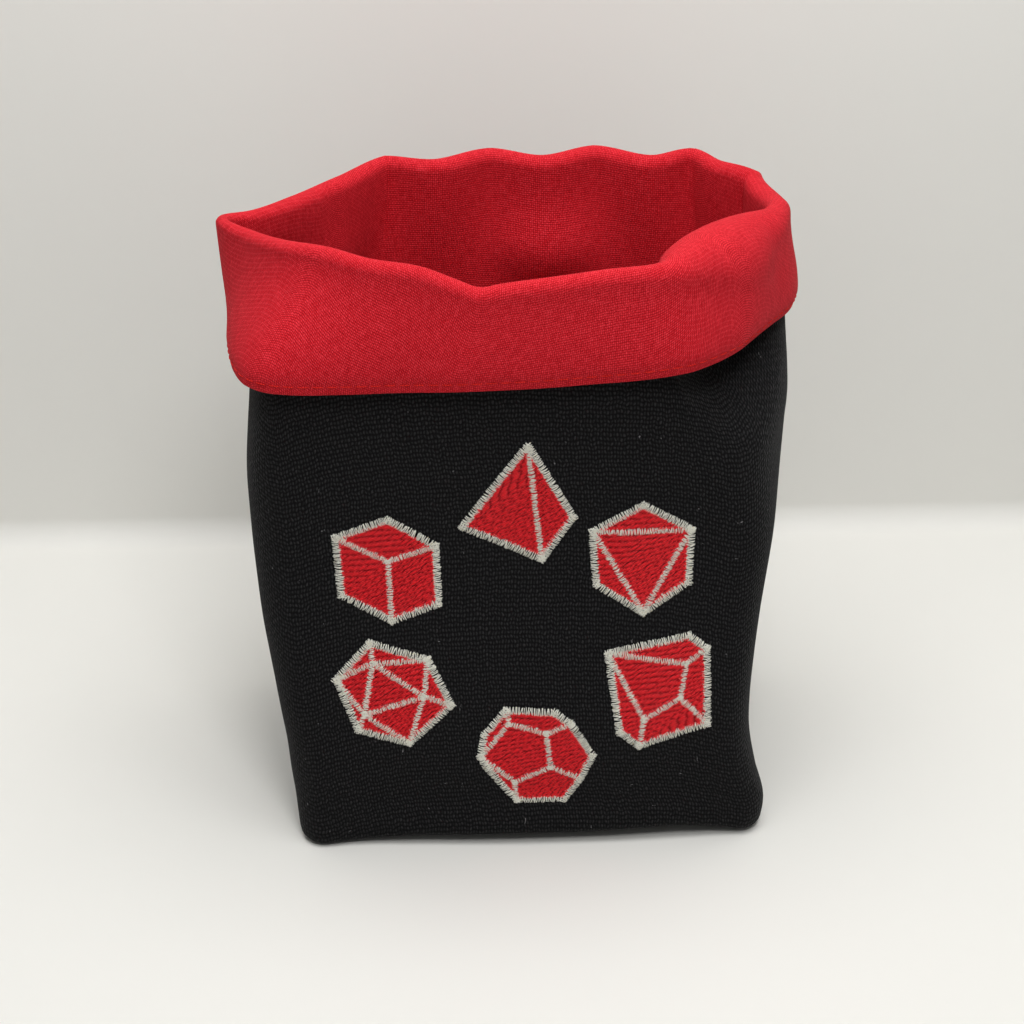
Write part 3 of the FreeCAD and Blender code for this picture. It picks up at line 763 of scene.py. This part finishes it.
canvasFront = makePanel("canvasFront", "canvas", 0.0, blackCanvas, "outer_front_panel")
canvasBack = makePanel("canvasBack", "canvas", 1.0, blackCanvas, "outer_back_panel")
liningFront = makePanel("liningFront", "lining", 0.0, redCotton, "lining_front_panel")
liningBack = makePanel("liningBack", "lining", 1.0, redCotton, "lining_back_panel")
print("panels made")


def onFront(x, z, lift):
    # the place on the front face with that x and z, found by Newton steps on the wall's own formula from
    # a straight guess, and moved out along the direction square to the wall
    faceLeft = -68.0
    faceRight = 60.0
    q = 0.2 + (x - faceLeft) / (faceRight - faceLeft) * 0.6
    step = 1e-4
    for _ in range(6):
        here = wallPoint(q, z, 0.0)[..., 0]
        slope = (wallPoint(q + step, z, 0.0)[..., 0] - here) / step
        q = q - (here - x) / slope
    point = wallPoint(q, z, 0.0)
    acrossWay = wallPoint(q + step, z, 0.0) - wallPoint(q - step, z, 0.0)
    upWay = wallPoint(q, z + 0.05, 0.0) - wallPoint(q, z - 0.05, 0.0)
    out = unit(np.cross(acrossWay, upWay))
    return point + out * np.asarray(lift)[..., None], out


def threadMesh(lines, outs, radius, sides):
    # round threads along many lines at once: a ring about each point, square to the line,
    # from its sideways and outwards directions
    count, steps = lines.shape[:2]
    along = unit(np.gradient(lines, axis=1))
    sideways = unit(np.cross(along, outs))
    up = np.cross(sideways, along)
    turn = np.arange(sides) * (2 * math.pi / sides)
    size = np.broadcast_to(radius, (count, steps))[:, :, None, None]
    ring = np.cos(turn)[:, None] * sideways[:, :, None, :] + np.sin(turn)[:, None] * up[:, :, None, :]
    points = lines[:, :, None, :] + size * ring
    ringNumber = np.arange(count)[:, None, None] * steps + np.arange(steps - 1)[:, None]
    first = ringNumber * sides + np.arange(sides)
    following = np.roll(first, -1, axis=2)
    walls = np.stack([first, following, following + sides, first + sides], -1).reshape(-1, 4)
    ends = np.arange(count)[:, None] * steps * sides + np.arange(sides)[::-1]
    caps = np.concatenate([ends, ends[:, ::-1] + (steps - 1) * sides])
    gone = lengthAlong(lines, 1)[:, :, None]
    number = np.arange(count)[:, None, None] * 0.618
    values = np.stack(np.broadcast_arrays(gone, turn / (2 * math.pi), number), -1)
    return points.reshape(-1, 3), walls.tolist() + caps.tolist(), values.reshape(-1, 3)


def makeThreads(name, lines, outs, radius, sides, finish, slot, node):
    # threads along lines as one piece, smooth up to 80 degrees
    points, faces, values = threadMesh(lines, outs, radius, sides)
    return makePiece(name, points, faces, {"thread": values}, finish, [node], 80.0)


# each die's corners as x and z on the front face, its outer corners in order and its inner edges
dice = {
    "four": {
        "corners": {
            "top": (-1.5, 107.3), "left": (-17.2, 86.4), "bottom": (2.0, 77.3), "right": (9.5, 88.0),
        },
        "outer": "top left bottom right",
        "inner": ["top bottom"],
    },
    "six": {
        "corners": {
            "top": (-35.5, 88.5), "upperLeft": (-48.0, 84.0), "upperRight": (-24.0, 81.5),
            "middle": (-35.5, 77.5), "lowerLeft": (-47.0, 69.0), "lowerRight": (-23.5, 66.5),
            "bottom": (-35.0, 62.5),
        },
        "outer": "top upperLeft lowerLeft bottom lowerRight upperRight",
        "inner": ["upperLeft middle", "upperRight middle", "middle bottom"],
    },
    "eight": {
        "corners": {
            "top": (26.5, 91.0), "upperLeft": (14.5, 84.0), "upperRight": (38.5, 84.0),
            "lowerLeft": (15.5, 70.5), "lowerRight": (38.0, 70.5), "bottom": (27.0, 63.0),
        },
        "outer": "top upperLeft lowerLeft bottom lowerRight upperRight",
        "inner": ["upperLeft upperRight", "upperRight bottom", "bottom upperLeft"],
    },
    "ten": {
        "corners": {
            "leftTip": (18.5, 52.5), "top": (38.5, 56.5), "rightTip": (43.0, 53.0),
            "lowerRight": (43.5, 33.5), "bottom": (26.5, 28.0), "lowerLeft": (21.5, 32.0),
            "kiteRight": (38.0, 49.5), "kiteLow": (36.5, 40.5), "kiteBottom": (27.5, 35.0),
        },
        "outer": "leftTip top rightTip lowerRight bottom lowerLeft",
        "inner": [
            "leftTip kiteRight", "kiteRight kiteLow", "kiteLow kiteBottom",
            "kiteBottom leftTip", "kiteRight rightTip", "kiteLow lowerRight",
            "kiteBottom bottom",
        ],
    },
    "twelve": {
        "corners": {
            "topLeft": (-7.0, 38.0), "topRight": (5.0, 37.5), "rightHigh": (9.0, 34.5),
            "rightTip": (14.5, 25.5), "rightLow": (11.5, 19.0), "bottomRight": (7.5, 12.5),
            "bottomLeft": (-4.5, 12.5), "leftLow": (-12.0, 22.5), "leftTip": (-13.5, 25.5),
            "leftHigh": (-12.5, 31.5), "faceTop": (-6.5, 34.5), "faceRight": (3.0, 32.0),
            "faceLowRight": (4.0, 22.5), "faceBottom": (-5.0, 18.0),
        },
        "outer": (
            "topLeft topRight rightHigh rightTip rightLow "
            "bottomRight bottomLeft leftLow leftTip leftHigh"
        ),
        "inner": [
            "faceTop faceRight", "faceRight faceLowRight", "faceLowRight faceBottom",
            "faceBottom leftTip", "leftTip faceTop", "faceTop topLeft",
            "faceRight rightHigh", "faceLowRight rightLow", "faceBottom bottomLeft",
        ],
    },
    "twenty": {
        "corners": {
            "top": (-40.5, 56.5), "upperRight": (-26.5, 52.0), "right": (-21.0, 40.0),
            "bottom": (-31.5, 30.0), "lowerLeft": (-44.0, 34.0), "left": (-49.0, 47.0),
            "faceTop": (-40.0, 51.5), "faceRight": (-27.5, 42.5), "faceLow": (-42.5, 38.0),
        },
        "outer": "top upperRight right bottom lowerLeft left",
        "inner": [
            "faceTop faceRight", "faceRight faceLow", "faceLow faceTop",
            "faceTop top", "faceTop left", "faceTop upperRight",
            "faceRight upperRight", "faceRight right", "faceRight bottom",
            "faceLow left", "faceLow lowerLeft", "faceLow bottom",
        ],
    },
}

# the stitches, in millimetres; the uneven values are the spreads of random changes
satin = {
    "outerWidth": 2.15, "innerWidth": 1.8, "step": 0.31, "radius": 0.115, "lift": 0.5, "sink": 0.12,
    "reach": 0.3, "jag": 0.18, "unevenStep": 0.08, "unevenSwing": 0.34, "unevenLift": 0.05,
}
fill = {
    "angle": 36.0, "step": 0.45, "length": 2.7, "radius": 0.215, "taper": 0.62, "lift": 0.2,
    "sink": 0.04, "edge": 0.3, "inset": 0.5, "shortest": 0.5, "shift": 0.37, "unevenShift": 0.3,
    "unevenRow": 0.035, "unevenLift": 0.02,
}
stitchShare = np.linspace(0.0, 1.0, 7)
chance = np.random.default_rng(11)


def satinLines(start, end, width):
    # threads laid to and fro across a line: each a low arch whose two ends go down into the cloth
    start = np.array(start)
    end = np.array(end)
    length = np.hypot(*(end - start))
    alongWay = (end - start) / length
    acrossWay = np.array([-alongWay[1], alongWay[0]])
    reach = satin["reach"] * width
    count = int((length + 2 * reach) / satin["step"])
    at = np.linspace(-reach, length + reach, count) + chance.normal(0.0, satin["unevenStep"], count)
    sides = width / 2 + chance.uniform(-satin["jag"], satin["jag"], (count, 2))
    swing = chance.normal(0.0, satin["unevenSwing"], count)
    across = -sides[:, :1] + (sides[:, :1] + sides[:, 1:]) * stitchShare
    forward = at[:, None] + swing[:, None] * (stitchShare - 0.5)
    arch = satin["lift"] + chance.normal(0.0, satin["unevenLift"], count)
    lift = np.sin(math.pi * stitchShare) ** 0.6 * arch[:, None] - satin["sink"]
    x = start[0] + alongWay[0] * forward + acrossWay[0] * across
    z = start[1] + alongWay[1] * forward + acrossWay[1] * across
    return x, z, lift


def fillLines(corners):
    # slanting rows between the outline's two crossings, each row cut into stitches that start at a
    # different place from those of its neighbours
    angle = math.radians(fill["angle"])
    alongWay = np.array([math.cos(angle), math.sin(angle)])
    acrossWay = np.array([-alongWay[1], alongWay[0]])
    u = corners @ alongWay
    v = corners @ acrossWay
    nextU = np.roll(u, -1)
    nextV = np.roll(v, -1)
    rows = np.arange(v.min() + fill["edge"], v.max() - fill["edge"], fill["step"])
    share = (rows[:, None] - v) / (nextV - v + 1e-9)
    crossing = np.where((share >= 0) & (share <= 1), u + (nextU - u) * share, np.nan)
    low = np.nanmin(crossing, axis=1) + fill["inset"]
    high = np.nanmax(crossing, axis=1) - fill["inset"]
    length = fill["length"]
    shift = np.arange(len(rows)) * fill["shift"]
    shift = shift + chance.uniform(0.0, fill["unevenShift"], len(rows))
    offset = (shift % 1.0) * length
    number = np.arange(-1, int((high - low).max() / length) + 2)
    starts = low[:, None] - offset[:, None] + number * length
    ends = np.minimum(starts + length, high[:, None])
    starts = np.maximum(starts, low[:, None])
    keep = ends - starts > fill["shortest"]
    rowPlace = np.broadcast_to(rows[:, None], starts.shape)[keep]
    starts = starts[keep]
    ends = ends[keep]
    across = rowPlace[:, None] + chance.normal(0.0, fill["unevenRow"], (len(starts), 1))
    forward = starts[:, None] + (ends - starts)[:, None] * stitchShare
    x = alongWay[0] * forward + acrossWay[0] * across
    z = alongWay[1] * forward + acrossWay[1] * across
    lift = np.sin(math.pi * stitchShare) ** 0.35 * fill["lift"]
    lift = lift + chance.normal(0.0, fill["unevenLift"], (len(starts), 1))
    return x, z, lift - fill["sink"]


for label, die in dice.items():
    corners = die["corners"]
    outer = die["outer"].split()
    node = label + "_sided_die"
    label = label.capitalize() + "Sided"
    x, z, lift = fillLines(np.array([corners[corner] for corner in outer]))
    fromMiddle = np.abs(2.0 * stitchShare - 1.0)
    radius = fill["radius"] * (1.0 - fill["taper"] * fromMiddle ** 3)
    makeThreads("fill" + label, *onFront(x, z, lift), radius, 5,
                                redThread, "red_thread", node + "_fill")
    lines = [(*edge.split(), satin["innerWidth"]) for edge in die["inner"]]
    lines += [(*edge, satin["outerWidth"]) for edge in zip(outer, outer[1:] + outer[:1])]
    runs = [satinLines(corners[here], corners[there], width) for here, there, width in lines]
    x, z, lift = [np.concatenate(part) for part in zip(*runs)]
    makeThreads("outline" + label, *onFront(x, z, lift), satin["radius"], 5,
                                silverThread, "silver_thread", node + "_outline")
print("embroidery made")

# the stitches along the cuff's edge, in millimetres
topstitch = {
    "aboveHem": 1.3, "length": 2.6, "pitch": 3.3, "start": 0.3, "radius": 0.14, "lift": 0.22,
    "sink": 0.12,
}


def makeTopstitching():
    # stitches at an even pitch on the cuff's face, each a low arch with its ends in the cloth
    around = np.linspace(0.0, 2.0, 1201)
    cuffHeight = mouthAt(around)[2] - mouthAt(around)[3] - hemAt(around)[2]
    share = 1.0 - topstitch["aboveHem"] / cuffHeight
    line = cuffPoint(around, share, visibleDepth)
    gone = lengthAlong(line)
    count = int(gone[-1] / topstitch["pitch"])
    starts = np.arange(count) * (gone[-1] / count) + topstitch["start"]
    step = np.linspace(0.0, 1.0, 7)
    at = starts[:, None] + topstitch["length"] * step
    q = np.interp(at, gone, around)
    shareAt = np.interp(q, around, share)
    point = cuffPoint(q, shareAt, visibleDepth)
    beside = 0.001
    above = 0.02
    sideWay = cuffPoint(q + beside, shareAt, visibleDepth) - cuffPoint(q - beside, shareAt, visibleDepth)
    upWay = cuffPoint(q, shareAt - above, visibleDepth) - cuffPoint(q, shareAt + above, visibleDepth)
    out = unit(np.cross(sideWay, upWay))
    lift = np.sin(math.pi * step) ** 0.5 * topstitch["lift"] - topstitch["sink"]
    return makeThreads("topstitching", point + out * lift[:, None], out, topstitch["radius"], 6,
                       orangeThread, "orange_red_thread", "cuff_topstitching")


topstitching = makeTopstitching()

# the hidden seams' stitches and how far the seams reach, in millimetres
seamThread = {
    "length": 2.2, "pitch": 3.0, "start": 0.4, "radius": 0.17, "lift": 0.08, "depth": 1.25,
    "top": 148.0, "baseEnds": (-55.0, 56.0),
}


def makeSeam(name, node, line, outs):
    # stitches along a hidden seam line, at an even pitch
    gone = lengthAlong(line)
    count = int(gone[-1] / seamThread["pitch"])
    starts = np.arange(count) * seamThread["pitch"] + seamThread["start"]
    step = np.linspace(0.0, 1.0, 5)
    at = starts[:, None] + seamThread["length"] * step
    parts = [[np.interp(at, gone, way[:, k]) for k in range(3)] for way in (line, outs)]
    centre, out = [np.stack(part, -1) for part in parts]
    out = unit(out)
    lift = np.sin(math.pi * step) * seamThread["lift"]
    return makeThreads(name, centre + out * lift[:, None], out, seamThread["radius"], 5,
                       blackThread, "black_thread", node)


def makeSideSeam(name, node, q):
    # up a side seam between canvas and lining, from just over the foot's bend to the mouth
    heights = np.linspace(wall["bend"] + 1.0, seamThread["top"], 300)
    line = wallPoint(q + 0.0 * heights, heights, seamThread["depth"])
    inward = wallPoint(q + 0.0 * heights, heights, seamThread["depth"] + 0.5) - line
    return makeSeam(name, node, line, inward)


def makeBaseSeam(name, node):
    # straight across the middle of the base
    x = np.linspace(*seamThread["baseEnds"], 200)
    line = np.stack([x, 0.0 * x, 0.0 * x + seamThread["depth"]], -1)
    return makeSeam(name, node, line, np.tile([0.0, 0.0, 1.0], (len(x), 1)))


makeSideSeam("leftSeam", "left_seam_stitching", 0.0)
makeSideSeam("rightSeam", "right_seam_stitching", 1.0 - 1e-7)
makeBaseSeam("baseSeam", "base_seam_stitching")

backingArea = {"left": -50.5, "right": 45.0, "bottom": 11.0, "top": 108.0}


def makeBacking():
    # a plain sheet behind the embroidery that follows the front face between canvas and lining
    x = np.linspace(backingArea["left"], backingArea["right"], 49)[None, :]
    z = np.linspace(backingArea["bottom"], backingArea["top"], 50)[:, None]
    x, z = np.broadcast_arrays(x, z)
    outer, inner = layers["backing"]
    first = onFront(x, z, np.full(x.shape, -outer))[0]
    second = onFront(x, z, np.full(x.shape, -inner))[0]
    points, faces, values = closedSheet(first, second, np.stack([x, z, 0 * x], -1))
    return makePiece("backing", points, faces, {"cloth": values}, whiteBacking,
                     ["embroidery_backing"])


backing = makeBacking()
print("stitching and backing made")

# each cloth and the size it was cut to, in metres, with the corners cut away for the boxed base
for piece in (canvasFront, canvasBack, liningFront, liningBack, backing):
    print(piece.name, "area", round(meshArea(piece), 5), "faces", len(piece.data.polygons))

# the floor sweeps up into a backdrop behind the bag, in metres
sweep = {
    "width": 1.6, "nearEdge": -0.9, "bendStart": 0.119, "radius": 0.008, "height": 1.0,
    "shade": (233, 232, 227),
}


def makeSweep():
    # level floor, a quarter circle, then upright, carried across the width
    turn = np.linspace(0.0, math.pi / 2, 24)
    y = np.concatenate([[sweep["nearEdge"]], sweep["bendStart"] + sweep["radius"] * np.sin(turn)])
    z = np.concatenate([[0.0], sweep["radius"] * (1 - np.cos(turn))])
    y = np.append(y, y[-1])
    z = np.append(z, sweep["height"])
    x = np.array([-sweep["width"] / 2, sweep["width"] / 2])
    points = np.stack([np.tile(x, len(y)), np.repeat(y, 2), np.repeat(z, 2)], -1)
    mesh = bpy.data.meshes.new("sweep")
    mesh.from_pydata(points.tolist(), [], gridFaces(len(y), 2).tolist())
    mesh.shade_smooth()
    floor = bpy.data.objects.new("sweep", mesh)
    scene.collection.objects.link(floor)
    paper = Finish("palePaper", Base_Color=colour(*sweep["shade"]), Roughness=0.9, Specular_IOR_Level=0.1)
    # the sheet shows from its front alone, and the bag is seen through its back
    behind = paper.node("ShaderNodeNewGeometry", None, None, "Backfacing")
    clear = paper.node("ShaderNodeBsdfTransparent")
    solid = Wire(paper, paper.shader.outputs[0])
    both = paper.node("ShaderNodeMixShader", None, {0: behind, 1: solid, 2: clear})
    paper.join(paper.end.inputs["Surface"], both)
    mesh.materials.append(paper.material)


# each lamp's place, aim and side in metres and its power in watts, and the room's own light
lamps = {
    "overhead": {"place": (0.0, 0.02, 0.55), "aim": (0.0, 0.02, 0.0), "size": 0.5, "power": 3.2},
    "fromFront": {"place": (0.05, -0.38, 0.58), "aim": (0.0, 0.0, 0.12), "size": 0.16, "power": 1.15},
}
roomLight = 0.18


def makeLight(name, place, aim, size, power):
    # a square soft lamp, tilted by the arctangent of the level distance to its aim over the height above it
    data = bpy.data.lights.new(name, "AREA")
    data.shape = "SQUARE"
    data.size = size
    data.energy = power
    holder = bpy.data.objects.new(name, data)
    holder.location = place
    way = np.array(aim) - np.array(place)
    flatWay = math.hypot(way[0], way[1])
    holder.rotation_euler = (math.atan2(flatWay, -way[2]), 0.0, math.atan2(way[1], way[0]) - math.pi / 2)
    scene.collection.objects.link(holder)


def makeWorld():
    # an even white light from all sides
    world = bpy.data.worlds.new("softRoom")
    scene.world = world
    world.use_nodes = True
    background = world.node_tree.nodes["Background"]
    background.inputs[0].default_value = (1.0, 1.0, 1.0, 1.0)
    background.inputs[1].default_value = roomLight


makeSweep()
makeWorld()
for name, lamp in lamps.items():
    makeLight(name, **lamp)
scene.view_settings.view_transform = "Standard"
print("stage and light made")
